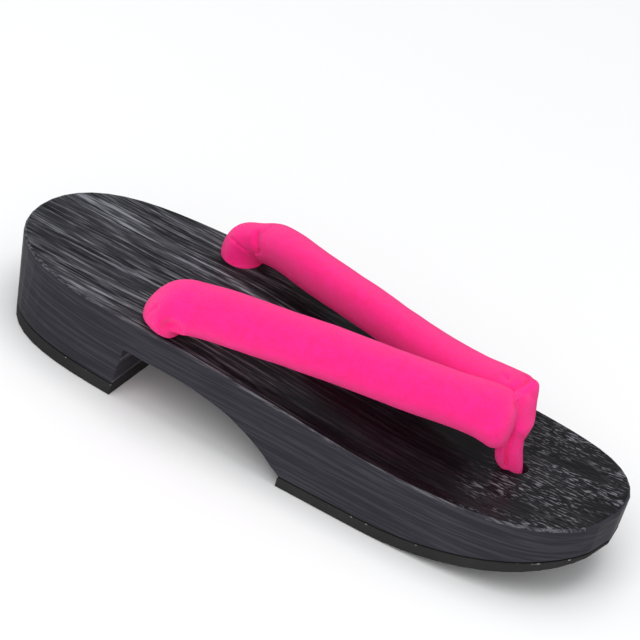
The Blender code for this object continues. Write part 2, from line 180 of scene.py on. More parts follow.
# Middle line of the front loop, from its rear strand over the strap to its front strand, in millimetres
LoopRow = namedtuple("LoopRow", "along x y z breadth thickness turn near_crown far_crown")
LOOP = [
    LoopRow(0, 79.2, -0.5, 19.5, 4.0, 4.0, 0, 0, 0),
    LoopRow(1, 78.2, -1.0, 23.5, 4.6, 4.2, 0, 0, 0),
    LoopRow(2, 77.5, -1.7, 27.8, 5.0, 4.8, 0, 0, 0),
    LoopRow(3, 75.4, -4.2, 30.4, 5.4, 4.2, 0, 0, 0),
    LoopRow(4, 74.3, -6.4, 33.8, 5.4, 3.8, 0, 0, 0),
    LoopRow(5, 73.6, -6.2, 37.8, 5.8, 3.8, 0, 0, 0),
    LoopRow(6, 72.6, -4.4, 42.0, 6.8, 3.8, 0, 0, 0),
    LoopRow(7, 71.2, -2.6, 47.0, 8.2, 3.8, 0, 0, 0),
    LoopRow(8, 70.0, -1.2, 51.0, 5.2, 3.4, 8, 0.6, 0.2),
    LoopRow(9, 70.7, -0.9, 52.6, 7.4, 3.2, 16, 2.4, 0.0),
    LoopRow(10, 71.4, -0.5, 54.5, 12.0, 3.0, 20, 3.8, -1.8),
    LoopRow(11, 72.7, -0.3, 55.5, 14.8, 3.0, 19, 3.8, -2.2),
    LoopRow(12, 74.0, -0.2, 54.2, 14.6, 3.0, 14, 3.2, -0.6),
    LoopRow(13, 75.3, -0.1, 51.2, 14.4, 3.0, 11, 2.0, 0.3),
    LoopRow(14, 76.4, 0.0, 47.4, 14.2, 3.6, 10, 2.2, 0.8),
    LoopRow(15, 77.2, -0.3, 44.0, 13.0, 4.8, 8, 2.2, 1.0),
    LoopRow(16, 76.5, -0.9, 41.4, 10.4, 5.8, 8, 1.4, 0.6),
    LoopRow(17, 76.3, -1.8, 39.0, 8.2, 5.6, 4, 0.2, 0),
    LoopRow(18, 77.1, -2.3, 35.2, 7.8, 5.8, 1, 0, 0),
    LoopRow(19, 77.8, -2.4, 32.8, 7.6, 6.0, 0, 0, 0),
    LoopRow(20, 78.9, -2.2, 30.2, 6.8, 5.6, 0, 0, 0),
    LoopRow(21, 79.8, -1.7, 27.8, 5.2, 5.0, 0, 0, 0),
    LoopRow(22, 80.4, -1.1, 24.0, 4.2, 4.2, 0, 0, 0),
    LoopRow(23, 80.0, -0.5, 19.5, 4.0, 4.0, 0, 0, 0),
]

# Rows of the loop that press on the arms, the row where its band starts, and how far back it presses
PRESSING_ROWS = (7, 16.5)
BAND_START = 7.8
LOOP_REACH = 60 * MM

# Where an arm is held while it is stuffed: below the top of the wood, and under the front loop
HELD_BELOW = 31 * MM
HELD_BEYOND = 66 * MM

# Frames of the cloth simulation
PUFF_FRAMES = 20

# Creases of the cloth, each a soft trough between two low ridges, in millimetres
Crease = namedtuple("Crease", "breadth depth points")
CREASES = [
    # On the fold of the far arm
    Crease(1.5, 1.4, [(-46.9, 24.6, 48.0), (-45.9, 23.8, 45.4), (-44.2, 22.6, 42.6)]),
    Crease(
        0.7,
        0.6,
        [(-55.7, 24.2, 41.4), (-49.5, 24.2, 40.0), (-46.2, 24.6, 38.6), (-43.0, 23.4, 39.6)],
    ),
    # On the fold of the near arm
    Crease(1.0, 0.6, [(-51.7, -41.6, 38.4), (-49.3, -41.6, 42.8)]),
    Crease(2.0, 1.2, [(-44.4, -42.5, 38.6), (-40.3, -41.8, 40.7)]),
    Crease(0.9, 1.2, [(-40.2, -41.9, 41.2), (-38.2, -41.0, 38.0)]),
    # Across the band of the loop
    Crease(1.6, 0.4, [(72.0, -2.5, 57.4), (74.6, -0.6, 56.6), (76.6, 2.6, 54.4)]),
    # At the top of the loop's strands, and between them
    Crease(1.0, 0.5, [(77.9, -3.6, 41.2), (77.9, -5.1, 37.1)]),
    Crease(0.9, 1.1, [(75.7, -7.0, 36.6), (76.2, -6.4, 33.8), (76.9, -5.9, 31.7), (77.5, -5.5, 29.8)]),
]

# One oval section of a tube: its middle, the way the tube runs, and the axis that its breadth leans from
Section = namedtuple("Section", "centre direction across breadth thickness lean")

# Lights of the studio: place and width in metres, power in watts
LightRow = namedtuple("LightRow", "name place width power")
LIGHTS = [
    LightRow("key_light", (-0.1, -1.3, 1.5), 1.2, 13),
    LightRow("fill_light", (0.5, -1.5, 0.35), 1.2, 8),
    LightRow("top_light", (0.0, 0.1, 2.0), 1.6, 16),
]
LIGHTS_AIM = (0, 0, 0.03)


def size(name, text, default, unit="LENGTH"):
    """A size that a user can change."""
    return FloatProperty(name=name, description=text, default=default, unit=unit, precision=5)


def colour(name, text, default):
    """A colour that a user can change."""
    return FloatVectorProperty(
        name=name, description=text, default=default, subtype="COLOR", size=3, min=0, max=1
    )


class WoodSettings(bpy.types.PropertyGroup):
    """Sizes and colours of the lacquered base."""

    edge: size("Edge", "Softening of the cut edges", 0.3 * MM)
    cut: size("Cut", "Spacing of the lines that the block is divided by", 3 * MM)
    hand: size("Hand work", "Unevenness of the lower edge of the arch", 0.35 * MM)
    lacquer: colour("Lacquer", "Body colour of the black lacquer", (0.0030, 0.0030, 0.0042))
    # The ridge colour is partly painted sheen, the light that the rough ridges catch
    ridge_wear_and_sheen: colour("Ridge", "Worn light colour along the ridges of the grain", (0.21, 0.21, 0.235))
    wall: colour("Wall", "Satin colour of the side walls", (0.027, 0.026, 0.032))
    sawn: colour("Sawn face", "Light lines on the sawn face behind the arch", (0.11, 0.11, 0.12))
    # The worn edge colour is partly a painted highlight, the light that the rounded edge catches
    worn: colour("Worn edge", "Rubbed spots along the edge of the top face", (0.13, 0.13, 0.14))


class TreadSettings(bpy.types.PropertyGroup):
    """Sizes and colours of the rubber treads."""

    edge: size("Edge", "Softening of the cut edges", 0.25 * MM)
    rubber: colour("Rubber", "Colour of the rubber", (0.020, 0.019, 0.019))
    glue: colour("Glue", "Colour of the specks of glue along the joint", (0.30, 0.30, 0.30))


class StrapSettings(bpy.types.PropertyGroup):
    """Sizes and colours of the cloth strap and its front loop."""

    width: size("Width", "Breadth of the padded strap", 19.8 * MM)
    thickness: size("Thickness", "Thickness of the padded strap", 15.6 * MM)
    lean: size("Lean", "Outward turn of the broad face", math.radians(39), "ROTATION")
    rise: size("Rise", "Top face of the wood to the middle of the strap, at the front", 19.3 * MM)
    puff: size("Puff", "Most that the stuffing may swell the cloth", 0.8 * MM)
    thread: size("Thread", "Spacing of the threads of the cloth", 0.42 * MM)
    sides: IntProperty(name="Sides", description="Points round a section of an arm", default=52, min=12)
    loop_sides: IntProperty(
        name="Loop sides", description="Points round a section of the loop", default=32, min=12
    )
    cloth: colour("Cloth", "Colour of the cloth", (0.96, 0.0145, 0.205))
    # Painted glow, which lifts the shaded cloth
    painted_glow: colour("Glow", "Light of its own colour that the bright dye gives back", (1.0, 0.010, 0.15))


class StageSettings(bpy.types.PropertyGroup):
    """Camera, floor and light of the room."""

    place: FloatVectorProperty(
        name="Place",
        description="Where the camera stands",
        default=(0.440227, -1.285071, 0.839451),
        subtype="TRANSLATION",
        size=3,
        precision=5,
    )
    azimuth: size("Azimuth", "Camera's turn round the sandal", math.radians(19.13), "ROTATION")
    elevation: size("Elevation", "Camera's height above the horizon", math.radians(30.34), "ROTATION")
    roll: size("Roll", "Camera's turn about its own line of sight", math.radians(17.81), "ROTATION")
    lens: FloatProperty(name="Lens", description="Focal length in millimetres", default=253.4, min=1)
    floor: colour("Floor", "Colour of the floor", (0.86, 0.86, 0.86))
    room: colour("Room", "Colour of the light of the room", (0.97, 0.98, 1.0))
    room_strength: FloatProperty(
        name="Room strength", description="Strength of the light of the room", default=0.62, min=0
    )


class Value:
    """One output in a material, so that sums of values are written as expressions."""

    def __init__(self, paint, socket):
        self.paint = paint
        self.socket = socket

    def __add__(self, other):
        return self.paint.sum("ADD", self, other)

    def __sub__(self, other):
        return self.paint.sum("SUBTRACT", self, other)

    def __rsub__(self, other):
        return self.paint.sum("SUBTRACT", other, self)

    def __mul__(self, other):
        return self.paint.sum("MULTIPLY", self, other)

    __radd__ = __add__
    __rmul__ = __mul__


class Paint:
    """A material, built up from nodes."""

    def __init__(self, name, constants):
        self.material = bpy.data.materials.new(name)
        self.material.use_nodes = True
        self.nodes = self.material.node_tree.nodes
        self.links = self.material.node_tree.links
        self.shader = self.nodes["Principled BSDF"]
        self.put(self.shader, constants)

    def put(self, node, values):
        """Set or link the sockets of a node."""
        for key, value in values.items():
            if isinstance(value, Value):
                self.links.new(value.socket, node.inputs[key])
            else:
                node.inputs[key].default_value = value

    def node(self, kind, settings=None, values=None, output=0):
        """Add any node, with its settings first, and give one of its outputs."""
        made = self.nodes.new("ShaderNode" + kind)
        for key, value in (settings or {}).items():
            setattr(made, key, value)
        self.put(made, values or {})
        return Value(self, made.outputs[output])

    def sum(self, operation, first, second):
        """A sum, difference or product of two values."""
        return self.node("Math", {"operation": operation}, {0: first, 1: second})

    def sine(self, value):
        """Sine of a value in radians."""
        return self.node("Math", {"operation": "SINE"}, {0: value})

    def place(self):
        """Place on the piece, in metres."""
        return self.node("TexCoord", output="Object")

    def stretch(self, place, x, y, z):
        """A place with each direction multiplied, so that a pattern is drawn out along one of them."""
        return self.node("VectorMath", {"operation": "MULTIPLY"}, {0: place, 1: (x, y, z)})

    def noise(self, place, stretch, detail=3.0, roughness=0.6):
        """Cloudy noise, with as many clouds to a metre in each direction as stretch says."""
        values = {"Scale": 1.0, "Detail": detail, "Roughness": roughness}
        return self.node("TexNoise", {}, {"Vector": self.stretch(place, *stretch), **values})

    def between(self, value, low, high):
        """0 below low, 1 above high, and soft between them."""
        settings = {"interpolation_type": "SMOOTHSTEP"}
        return self.node("MapRange", settings, {"Value": value, "From Min": low, "From Max": high})

    def mix(self, factor, first, second):
        """A colour between two others."""
        first, second = (c if isinstance(c, Value) else (*c, 1) for c in (first, second))
        return self.node("Mix", {"data_type": "RGBA"}, {0: factor, 6: first, 7: second}, output=2)

    def bump(self, height, depth, strength=1.0):
        """Low relief, its depth in metres."""
        return self.node("Bump", {}, {"Height": height, "Distance": depth, "Strength": strength})

    def mark(self, name):
        """A number that the mesh carries on its points or faces."""
        return self.node("Attribute", {"attribute_name": name}, output="Fac")


def shade(tone, share):
    """A darker or lighter shade of a colour."""
    return tuple(min(1, part * share) for part in tone)


def smooth(rows, column, along):
    """Read a column of a table on a smooth curve through its rows."""
    last = len(rows) - 1
    along = min(max(along, rows[0].along), rows[last].along)
    i = max(k for k in range(last) if rows[k].along <= along)

    def slope(k):
        before, after = rows[max(k - 1, 0)], rows[min(k + 1, last)]
        return (getattr(after, column) - getattr(before, column)) / (after.along - before.along)

    step = rows[i + 1].along - rows[i].along
    t = (along - rows[i].along) / step
    start = getattr(rows[i], column)
    stop = getattr(rows[i + 1], column)
    return (
        start * (1 + 2 * t) * (1 - t) ** 2
        + stop * t * t * (3 - 2 * t)
        + slope(i) * step * t * (1 - t) ** 2
        - slope(i + 1) * step * t * t * (1 - t)
    )


def tree_of(node):
    """Search tree of a CAD node's faces."""
    mesh = NODES[node].data
    return BVHTree.FromPolygons([v.co for v in mesh.vertices], [p.vertices for p in mesh.polygons])


WOOD_TREE = tree_of("wood_base")
WOOD_LOW, WOOD_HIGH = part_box("wood_base")


def wood_top(x):
    """Height of the wood's top face at a place along it."""
    hit = WOOD_TREE.ray_cast(Vector((x, 20 * MM, 0.2)), Vector((0, 0, -1)))[0]
    return hit.z if hit else WOOD_HIGH.z


def nothing_selected():
    """Deselect every object."""
    for other in bpy.context.view_layer.objects:
        other.select_set(False)


def only(piece):
    """Make one object the selected and active one."""
    nothing_selected()
    piece.select_set(True)
    bpy.context.view_layer.objects.active = piece


def editing(piece):
    """Go into edit mode on one object, with all its points selected."""
    only(piece)
    bpy.ops.object.mode_set(mode="EDIT")
    bpy.ops.mesh.select_mode(type="VERT")
    bpy.ops.mesh.select_all(action="SELECT")


def done():
    """Go back to object mode."""
    bpy.ops.object.mode_set(mode="OBJECT")


def modify(piece, kind, **settings):
    """Add a modifier and apply it."""
    only(piece)
    change = piece.modifiers.new(kind.title(), kind)
    for key, value in settings.items():
        setattr(change, key, value)
    bpy.ops.object.modifier_apply(modifier=change.name)


def merged_copy(node, name):
    """A copy of a CAD node as one closed mesh with flat faces joined, ready for work."""
    mesh = NODES[node].data.copy()
    mesh.materials.clear()
    piece = bpy.data.objects.new(name, mesh)
    bpy.context.scene.collection.objects.link(piece)
    only(piece)
    bpy.ops.mesh.customdata_custom_splitnormals_clear()
    editing(piece)
    bpy.ops.mesh.remove_doubles(threshold=MM / 500)
    bpy.ops.mesh.dissolve_limited(angle_limit=math.radians(0.6))
    done()
    return piece


def soften(piece, width):
    """Round the cut edges of a solid."""
    modify(
        piece,
        "BEVEL",
        width=width,
        segments=2,
        limit_method="ANGLE",
        angle_limit=math.radians(32),
        use_clamp_overlap=True,
    )


def joined(first, second, name):
    """Join two objects into one mesh under one name."""
    only(first)
    second.select_set(True)
    bpy.ops.object.join()
    first.name = name
    first.data.name = name
    return first


def cut_across(piece, axis, start, stop, spacing):
    """Divide a piece by parallel planes across one axis."""
    editing(piece)
    count = int((stop - start) / spacing)
    normal = [0, 0, 0]
    normal[axis] = 1
    for k in range(1, count):
        point = [0, 0, 0]
        point[axis] = start + (stop - start) * k / count
        bpy.ops.mesh.select_all(action="SELECT")
        bpy.ops.mesh.bisect(plane_co=point, plane_no=normal, threshold=MM / 1000)
    done()


def ready(piece, node):
    """Put a finished piece on its body, in the place of its CAD node."""
    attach(piece, "root")
    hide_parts(node)


def wandering(paint, place):
    """Places that wander a little sideways, as grain does."""
    values = {"Vector": paint.stretch(place, 16, 34, 16), "Scale": 1.0, "Detail": 2.0}
    wander = paint.node("TexNoise", {}, values, output="Color")
    shift = paint.stretch(wander, 0, 2.5 * MM, 1.5 * MM)
    return paint.node("VectorMath", {"operation": "ADD"}, {0: place, 1: shift})


def lacquer(sizes):
    """Black lacquer over brushed grain: streaks on the top face, painted light partly as the sheen their
    ridges catch, a painted sheen on the heel, satin walls, and a worn edge with a painted highlight.
    """
    # A low index keeps the polished wood deep black where it is seen at a low angle
    paint = Paint("lacquer", {"IOR": 1.12})
    place = paint.place()
    grain = wandering(paint, place)
    split = paint.node("SeparateXYZ", {}, {0: place}, output="X")
    fading = paint.between(split, *FADING_GRAIN_AND_SHEEN)
    toe = paint.between(split, *BRUSHED_TOE)
    polish = paint.between(split, *POLISHED_MIDDLE) * (1 - toe * 0.7)
    top = paint.mark("top")

    # Long worn ridges on the heel, painted light partly as the sheen they catch; they fade towards the
    # polished middle
    long_grain = paint.noise(grain, (34, 620, 60), 4, 0.65)
    fine_grain = paint.noise(grain, (60, 1050, 90), 2, 0.5)
    broad = paint.noise(grain, (6, 120, 20))
    breaks = paint.noise(grain, (60, 240, 60))
    gaps = paint.between(paint.noise(grain, (30, 520, 80)), 0.48, 0.60)
    lines = paint.between(long_grain, 0.50, 0.62) * 0.9 + paint.between(fine_grain, 0.52, 0.68) * 0.5
    worn = paint.between(broad, 0.30, 0.66) * 0.75 + 0.25
    unbroken = paint.between(breaks, 0.34, 0.60) * 0.6 + 0.4
    heel_streaks = lines * worn * unbroken * (1 - fading * 0.94)

    # Short dashes on the toe, in patches, painted light partly as the sheen they catch
    dashes = paint.noise(grain, (260, 1150, 100), 2)
    patches = paint.noise(place, (45, 110, 60), 2, 0.5)
    toe_dashes = paint.between(dashes, 0.53, 0.64) * paint.between(patches, 0.36, 0.58) * toe

    streaks_and_sheen = heel_streaks + toe_dashes * 0.7
    haze = paint.between(broad, 0.42, 0.70) * (1 - fading * 0.9) * 0.14
    # Painted sheen: the heel's top, and a little the toe, made lighter for the light they catch
    end_sheen = paint.between(split, *HEEL_SHEEN) * 0.09 + toe * 0.03
    light = streaks_and_sheen + (haze + end_sheen) * (1 - gaps * 0.75)
    top_colour = paint.mix(light, tuple(sizes.lacquer), tuple(sizes.ridge_wear_and_sheen))

    # Level grain on the walls, and level saw lines on the breast of the heel
    wall_lines = paint.between(paint.noise(grain, (32, 44, 1150)), 0.40, 0.66)
    wall_colour = paint.mix(wall_lines, shade(sizes.wall, 0.95), shade(sizes.wall, 1.6))
    saw_lines = paint.between(paint.noise(place, (10, 22, 330), 2, 0.5), 0.56, 0.66)
    wall_colour = paint.mix(saw_lines * paint.mark("breast"), wall_colour, tuple(sizes.sawn))

    body = paint.mix(top, wall_colour, top_colour)
    # Rubbed spots along the top edge, painted light partly as the highlight that the rounded edge
    # catches
    wear_and_highlight = paint.between(paint.noise(grain, (40, 900, 900), 4, 0.7), 0.46, 0.60) * paint.mark("edge")
    body = paint.mix(wear_and_highlight * 0.8, body, tuple(sizes.worn))
    rough = top * (0.46 - polish * 0.28 + streaks_and_sheen * 0.15) + (1 - top) * 0.5
    relief = (long_grain * 0.7 + fine_grain * 0.3) * (1 - toe) * (1 - polish * 0.75) + dashes * toe
    wall_relief = paint.noise(grain, (30, 45, 1000))
    height = relief * top + wall_relief * (1 - top) * 0.6
    normal = paint.bump(height, 0.3 * MM, 0.8)
    paint.put(paint.shader, {"Base Color": body, "Roughness": rough, "Normal": normal})
    return paint.material


def rubber(sizes):
    """Matt rubber with a fine grain and specks of glue along its joint."""
    paint = Paint("tread_rubber", {"IOR": 1.45, "Specular IOR Level": 0.2})
    place = paint.place()
    grain = paint.noise(place, (900, 900, 900))
    cloud = paint.noise(place, (60, 60, 60), 3, 0.5)
    body = paint.mix(cloud, shade(sizes.rubber, 0.7), shade(sizes.rubber, 1.4))
    specks = paint.between(paint.noise(place, (260, 260, 500)), 0.6, 0.68)
    body = paint.mix(specks * paint.mark("edge"), body, tuple(sizes.glue))
    rough = 0.72 + grain * 0.2
    normal = paint.bump(grain, 0.12 * MM)
    paint.put(paint.shader, {"Base Color": body, "Roughness": rough, "Normal": normal})
    return paint.material


def pink_cloth(sizes):
    """Hot pink cotton: a fine plain weave with a soft nap."""
    constants = {
        "IOR": 1.4,
        "Specular IOR Level": 0.2,
        "Sheen Weight": 0.3,
        "Sheen Roughness": 0.5,
        "Sheen Tint": (1, 0.5, 0.75, 1),
    }
    paint = Paint("pink_cloth", constants)
    # Painted glow: the cloth gives back light of its own colour, which lifts it in the shade
    paint.put(paint.shader, {"Emission Color": (*sizes.painted_glow, 1), "Emission Strength": 0.15})
    place = paint.place()
    threads = paint.node("UVMap", {"uv_map": "weave"})
    around = 2 * math.pi / sizes.thread
    warp = paint.sine(paint.node("SeparateXYZ", {}, {0: threads}, output="X") * around)
    weft = paint.sine(paint.node("SeparateXYZ", {}, {0: threads}, output="Y") * around)
    over = warp * weft
    uneven = paint.noise(place, (300, 300, 300))
    fuzz = paint.noise(place, (900, 900, 900), 2)
    tone = paint.between(uneven, 0.3, 0.7)
    speckle = tone * 0.4 + paint.between(over, -0.6, 0.8) * 0.3 + paint.between(fuzz, 0.35, 0.65) * 0.3
    body = paint.mix(speckle, shade(sizes.cloth, 0.88), shade(sizes.cloth, 1.4))
    height = over * 0.7 + fuzz + uneven * 1.2
    rough = 0.8 + fuzz * 0.15
    normal = paint.bump(height, 0.14 * MM, 0.9)
    paint.put(paint.shader, {"Base Color": body, "Roughness": rough, "Normal": normal})
    return paint.material


def mark_faces(piece, name, chosen):
    """Keep a 0 or 1 on each face, for the piece's material."""
    layer = piece.data.attributes.new(name, "FLOAT", "FACE")
    layer.data.foreach_set("value", [1.0 if chosen(face) else 0.0 for face in piece.data.polygons])


def dress_wood(sizes):
    """The base: a merged copy of the solid, with softened edges and the unevenness of hand work."""
    piece = merged_copy("wood_base", "lacquered_base")
    soften(piece, sizes.edge)
    for axis in range(3):
        cut_across(piece, axis, WOOD_LOW[axis], WOOD_HIGH[axis], sizes.cut)
    for vertex in piece.data.vertices:
        place = vertex.co
        below = min(max((wood_top(place.x) - place.z) / HAND_FADE, 0), 1)
        wobble = noise.noise(Vector((place.x * 130, place.y * 60, 3)))
        if place.z > TREAD_TOP and ARCH[0] < place.x < ARCH[1]:
            place.z += sizes.hand * wobble * below

    def on_edge(face):
        """Whether a face is on the rounded edge of the top face."""
        low = wood_top(face.center.x) - face.center.z
        return UPRIGHT < face.normal.z < LEVEL and low < EDGE_LOW

    mark_faces(piece, "top", lambda face: face.normal.z > LEVEL)
    mark_faces(piece, "breast", lambda face: face.normal.x > 0.6 and face.center.x < BREAST)
    mark_faces(piece, "edge", on_edge)
    only(piece)
    bpy.ops.object.shade_smooth_by_angle(angle=math.radians(30))
    modify(piece, "WEIGHTED_NORMAL", keep_sharp=True, weight=60)
    piece.data.materials.append(lacquer(sizes))
    ready(piece, "wood_base")


def dress_tread(sizes, node, name, material):
    """A tread: a merged copy of its solid with softened edges."""
    piece = merged_copy(node, name)
    soften(piece, sizes.edge)
    low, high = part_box(node)
    cut_across(piece, 0, low[0], high[0], TREAD_CUT)
    highest = {}
    for vertex in piece.data.vertices:
        strip = round(vertex.co.x / TREAD_CUT)
        highest[strip] = max(highest.get(strip, 0), vertex.co.z)

    def by_joint(face):
        """Whether a face is on the wall of the tread, close under the wood."""
        top = highest.get(round(face.center.x / TREAD_CUT), 1)
        return abs(face.normal.z) < 0.8 and face.center.z > top - EDGE_LOW

    mark_faces(piece, "edge", by_joint)
    only(piece)
    bpy.ops.object.shade_smooth_by_angle(angle=math.radians(30))
    piece.data.materials.append(material)
    ready(piece, node)


def ring_of(section, sides):
    """Points of an oval section, its broad axis leaning down on the outer side."""
    direction = section.direction.normalized()
    across = (section.across - section.across.dot(direction) * direction).normalized()
    up = direction.cross(across)
    broad = across * math.cos(section.lean) - up * math.sin(section.lean)
    thin = across * math.sin(section.lean) + up * math.cos(section.lean)
    points = []
    for k in range(sides):
        turn = 2 * math.pi * k / sides
        reach = broad * section.breadth * math.cos(turn) + thin * section.thickness * math.sin(turn)
        points.append(section.centre + reach / 2)
    return points


def rolled_tube(name, rings):
    """Roll a flat piece of cloth into a tube through rings of points, and close its seam and ends."""
    steps = len(rings) - 1
    sides = len(rings[0])
    nothing_selected()
    bpy.ops.mesh.primitive_grid_add(x_subdivisions=steps, y_subdivisions=sides, size=1)
    piece = bpy.context.active_object
    piece.name = name
    piece.data.name = name
    along = [0.0]
    for near, far in zip(rings, rings[1:]):
        along.append(along[-1] + (sum(near, Vector()) - sum(far, Vector())).length / sides)
    girth = [sum((ring[k] - ring[k - 1]).length for k in range(sides)) for ring in rings]
    broadest = max(girth)
    weave = piece.data.uv_layers.active
    weave.name = "weave"
    spots = [(round((v.co.x + 0.5) * steps), round((v.co.y + 0.5) * sides)) for v in piece.data.vertices]
    for loop in piece.data.loops:
        i, j = spots[loop.vertex_index]
        weave.data[loop.index].uv = (along[i], broadest * j / sides)
    for vertex, (i, j) in zip(piece.data.vertices, spots):
        vertex.co = rings[i][j % sides]
    editing(piece)
    bpy.ops.mesh.remove_doubles(threshold=MM / 500)
    bpy.ops.mesh.normals_make_consistent(inside=False)
    done()
    return piece


def closed(rings):
    """Add a pole at each end of a row of rings."""
    first = [sum(rings[0], Vector()) / len(rings[0])] * len(rings[0])
    last = [sum(rings[-1], Vector()) / len(rings[-1])] * len(rings[-1])
    return [first] + rings + [last]


def turned(x, y, z, radius):
    """A level round section, for knots and for the cloth in a hole."""
    return Section(Vector((x, y, z)), Vector((0, 0, 1)), Vector((0, 1, 0)), 2 * radius, 2 * radius, 0)


def rear_knot():
    """Level round sections of a rear knot, from its underside to its top."""
    rows = [KNOT[0]]
    for low, high in zip(KNOT, KNOT[1:]):
        rows.append(KnotRow((low.depth + high.depth) / 2, (low.radius + high.radius) / 2))
        rows.append(high)
    height, radius = 2.8 * MM, 5.2 * MM
    return [turned(*REAR_HOLE, REAR_KNOT_TOP - height * row.depth, radius * row.radius) for row in rows]


def arm_run(sizes, plan):
    """Sections of an arm of the strap, planned on the +Y side, from the top of its fold to its nose."""
    start = Vector((plan.start * MM, START_ASIDE, 0))
    run = Vector((plan.nose * MM, NOSE_ASIDE, 0)) - start
    straight = run.length - ROUND_END
    steps = 60
    places = [(straight * k / steps, 1) for k in range(steps + 1)]
    end_steps = 12
    for k in range(1, end_steps + 1):
        turn = math.radians(88) * k / end_steps
        places.append((straight + ROUND_END * math.sin(turn), math.cos(turn) ** plan.end))
    across = Vector((-run.y, run.x, 0)).normalized()
    centres = []
    for distance, _ in places:
        point = start + run.normalized() * distance
        point.z = wood_top(point.x) + sizes.rise * smooth(STRAP, "rise", distance / run.length)
        centres.append(point)
    sections = []
    for k, (distance, share) in enumerate(places):
        along = distance / run.length
        direction = centres[min(k + 1, len(centres) - 1)] - centres[max(k - 1, 0)]
        breadth = sizes.width * smooth(STRAP, plan.breadth, along) * share
        thickness = sizes.thickness * smooth(STRAP, "thickness", along) * share
        lean = sizes.lean * smooth(STRAP, plan.lean, along)
        sections.append(Section(centres[k], direction, across, breadth, thickness, lean))
    return sections


def arm_rear(sizes, plan, first):
    """Sections from the rear knot up through the hole and over the fold, to an arm's first section."""
    hole_x, hole_y = REAR_HOLE
    seat = wood_top(hole_x) + SEAT
    sections = rear_knot()
    tail_steps = 5
    for k in range(tail_steps + 1):
        height = REAR_KNOT_TOP + (seat - REAR_KNOT_TOP) * k / tail_steps
        sections.append(turned(hole_x, hole_y, height, REAR_TAIL))
    hole = Vector((hole_x, hole_y, seat))
    reach = first.centre - hole
    steps = 30
    for k in range(steps):
        along = k / steps
        turn = math.pi / 2 * along
        centre = hole + Vector((reach.x, reach.y, 0)) * (1 - math.cos(turn))
        centre.z += reach.z * math.sin(turn)
        centre += first.across * FOLD_OUT * MM * smooth(FOLD, "outward", along)
        centre.x -= plan.back * MM * smooth(FOLD, "back", along)
        direction = Vector((reach.x, reach.y, 0)) * math.sin(turn)
        direction.z = reach.z * math.cos(turn)
        breadth = sizes.width * smooth(FOLD, "breadth", along)
        thickness = sizes.thickness * smooth(FOLD, "thickness", along)
        lean = sizes.lean * smooth(FOLD, "lean", along)
        sections.append(Section(centre, direction, first.across, breadth, thickness, lean))
    return sections


def laid(point, plan):
    """Where a point of the planned arm lies on the real strap."""
    along = point.x / MM
    lift = smooth(LAY, plan.lay, along)
    above = min(max((point.z - WOOD_HIGH.z) / LAY_RISE, 0), 1)
    aside = smooth(LAY, "aside", along)
    return Vector((point.x, plan.side * point.y + aside * MM * above, point.z + lift * MM * above))


def loop_rows():
    """Fine steps along the front loop."""
    count = 110
    rows = []
    for k in range(count + 1):
        along = LOOP[-1].along * k / count
        rows.append(LoopRow(along, *(smooth(LOOP, name, along) for name in LoopRow._fields[1:])))
    return rows


def loop_frames():
    """Row, centre, breadth direction and outward direction of the front loop at each step."""
    rows = loop_rows()
    centres = [Vector((row.x, row.y, row.z)) * MM for row in rows]
    frames = []
    for k, row in enumerate(rows):
        direction = (centres[min(k + 1, len(rows) - 1)] - centres[max(k - 1, 0)]).normalized()
        turn = math.radians(row.turn)
        breadth = Vector((math.sin(turn), math.cos(turn), 0))
        breadth = (breadth - breadth.dot(direction) * direction).normalized()
        outward = direction.cross(breadth)
        frames.append((row, centres[k], breadth, outward))
    return frames


def loop_ring(row, centre, breadth, outward, sides):
    """Section of the front loop: a flattened oval that bends over what it lies on."""
    points = []
    for k in range(sides):
        turn = 2 * math.pi * k / sides
        across = math.cos(turn)
        rise = math.copysign(abs(math.sin(turn)) ** 0.8, math.sin(turn))
        point = centre + breadth * across * row.breadth * MM / 2
        point += outward * rise * row.thickness * MM / 2
        crown = row.far_crown if across > 0 else row.near_crown
        point -= outward * crown * MM * across * across
        points.append(point)
    return points


def press_under_loop(piece):
    """Press an arm in where the front loop lies over it.

    The near half of the loop's band lies beside the end of the near arm, and presses nothing.
    """
    grid = []
    for row, centre, breadth, outward in loop_frames():
        if not PRESSING_ROWS[0] < row.along < PRESSING_ROWS[1]:
            continue
        for k in range(-12, 13):
            across = k / 12
            if row.along > BAND_START and across < 0.1:
                continue
            crown = row.far_crown if across > 0 else row.near_crown
            normal = (outward + breadth * 2 * crown * across / (row.breadth / 2)).normalized()
            point = centre + breadth * across * row.breadth * MM / 2 - outward * crown * MM * across**2
            half = row.thickness * MM / 2 * math.sqrt(1 - across * across)
            grid.append((point, normal, half))
    tree = KDTree(len(grid))
    for k, item in enumerate(grid):
        tree.insert(item[0], k)
    tree.balance()
    fade = 1.6 * MM
    for vertex in piece.data.vertices:
        if vertex.co.x < LOOP_REACH:
            continue
        k = tree.find(vertex.co)[1]
        point, normal, half = grid[k]
        offset = vertex.co - point
        height = offset.dot(normal)
        beside = (offset - normal * height).length
        if beside < fade and height > -half - 0.2 * MM and height < 8 * MM:
            share = max(1 - max(beside - 0.4 * MM, 0) / fade, 0)
            share = share * share * (3 - 2 * share)
            vertex.co -= normal * (height + half - 0.1 * MM) * share


